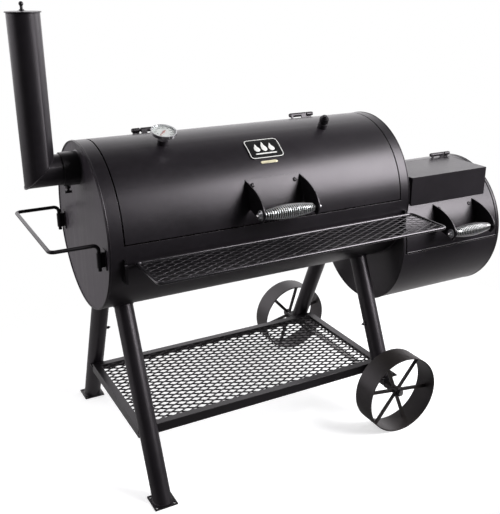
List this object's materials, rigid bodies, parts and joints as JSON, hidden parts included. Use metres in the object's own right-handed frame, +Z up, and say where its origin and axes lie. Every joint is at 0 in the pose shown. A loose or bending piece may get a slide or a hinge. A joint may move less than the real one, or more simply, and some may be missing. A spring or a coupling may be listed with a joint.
{
  "type": "offset smoker",
  "caption": "Charcoal offset smoker: horizontal barrel with a hinged lid, side firebox, chimney, mesh shelves, splayed legs and steel wheels.",
  "frame": {"origin": "centre of the bounding box's bottom face, on the floor", "axes": "+X along the barrel towards the firebox, -Y towards the person cooking, +Z up"},
  "size_m": [1.665, 0.831, 1.413],
  "materials": {
    "black_paint": "satin high-temperature black paint",
    "dark_paint": "satin black paint on brackets and fittings",
    "wheel_paint": "satin black paint on rolled steel",
    "mesh_paint": "satin black paint on expanded steel",
    "shelf_rod": "semi-gloss black paint on rod",
    "grate_iron": "seasoned dark steel bars",
    "chrome_plate": "bright plated steel",
    "plain_steel": "drawn steel rod",
    "dial_face": "white printed dial",
    "needle_red": "thin painted pointer",
    "dial_glass": "clear flat glass",
    "badge_enamel": "black badge with a pale raised border",
    "brass_tag": "small worn brass tag"
  },
  "bodies": {
    "frame": {"barrel_shell": "black_paint", "left_end_cap": "black_paint", "right_end_cap": "black_paint", "grate_rails": "dark_paint", "cooking_grate_left": "grate_iron", "cooking_grate_right": "grate_iron", "fixed_hinge_knuckles": "dark_paint", "hinge_pins": "dark_paint", "stack_collar": "dark_paint", "stack_thumb_screw": "dark_paint", "smokestack": "black_paint", "stack_cap_pivot": "dark_paint", "side_handle": "dark_paint", "side_handle_sockets": "dark_paint", "front_shelf_frame": "shelf_rod", "front_shelf_mesh": "mesh_paint", "front_shelf_brackets": "dark_paint", "leg_front_left": "black_paint", "leg_back_left": "black_paint", "leg_front_right": "black_paint", "leg_back_right": "black_paint", "foot_plates": "dark_paint", "leg_wing_screws": "dark_paint", "bottom_shelf_frame": "dark_paint", "bottom_shelf_mesh": "mesh_paint", "shelf_gussets": "dark_paint", "axle_brackets": "dark_paint", "axle": "plain_steel", "axle_nuts": "dark_paint", "firebox_shell": "black_paint", "firebox_inner_cap": "dark_paint", "firebox_outer_cap": "black_paint", "firebox_grate": "grate_iron", "ash_door_hinge": "dark_paint"},
    "lid": {"main_lid": "black_paint", "lid_hinge_knuckles": "dark_paint", "lid_handle_bracket": "dark_paint", "lid_handle_fasteners": "chrome_plate", "lid_grip_rod": "plain_steel", "lid_grip_coil": "chrome_plate", "thermometer_case": "chrome_plate", "thermometer_dial": "dial_face", "thermometer_glass": "dial_glass", "lid_port_bushings": "black_paint", "port_plug": "dark_paint", "badge_plate": "badge_enamel", "badge_tag": "brass_tag"},
    "needle": {"thermometer_needle": "needle_red"},
    "firebox_door": {"firebox_lid": "black_paint", "firebox_lid_knuckles": "dark_paint", "firebox_handle_bracket": "dark_paint", "firebox_handle_fasteners": "chrome_plate", "firebox_grip_rod": "plain_steel", "firebox_grip_coil": "chrome_plate"},
    "stack_cap": {"stack_cap": "black_paint"},
    "front_wheel": {"wheel_front": "wheel_paint"},
    "back_wheel": {"wheel_back": "wheel_paint"},
    "ash_door": {"ash_door": "black_paint"},
    "damper": {"air_damper": "dark_paint"}
  },
  "joints": [
    {"name": "main_lid_hinge", "type": "hinge", "parent": "frame", "child": "lid", "pos_m": [-0.172, 0.08809, 1.03397], "axis": [-1, 0, 0], "range_deg": [0, 90]},
    {"name": "firebox_lid_hinge", "type": "hinge", "parent": "frame", "child": "firebox_door", "pos_m": [0.5735, 0.02843, 0.84584], "axis": [-1, 0, 0], "range_deg": [0, 95]},
    {"name": "stack_cap_swivel", "type": "hinge", "parent": "frame", "child": "stack_cap", "pos_m": [-0.77526, 0.07473, 1.3875], "axis": [0, 0, 1], "range_deg": [0, 150]},
    {"name": "front_wheel_spin", "type": "hinge", "parent": "frame", "child": "front_wheel", "pos_m": [0.2715, -0.3345, 0.137], "axis": [0, 1, 0], "continuous": true},
    {"name": "back_wheel_spin", "type": "hinge", "parent": "frame", "child": "back_wheel", "pos_m": [0.2715, 0.3735, 0.137], "axis": [0, 1, 0], "continuous": true},
    {"name": "ash_door_swing", "type": "hinge", "parent": "frame", "child": "ash_door", "pos_m": [0.805, 0.1395, 0.456], "axis": [0, 0, 1], "range_deg": [0, 110]},
    {"name": "air_damper_turn", "type": "hinge", "parent": "ash_door", "child": "damper", "pos_m": [0.8045, 0.0195, 0.456], "axis": [1, 0, 0], "range_deg": [0, 45]},
    {"name": "thermometer_needle_turn", "type": "hinge", "parent": "lid", "child": "needle", "pos_m": [-0.4405, -0.07583, 1.05485], "axis": [0, 0.3256, -0.9455], "range_deg": [0, 270]}
  ]
}
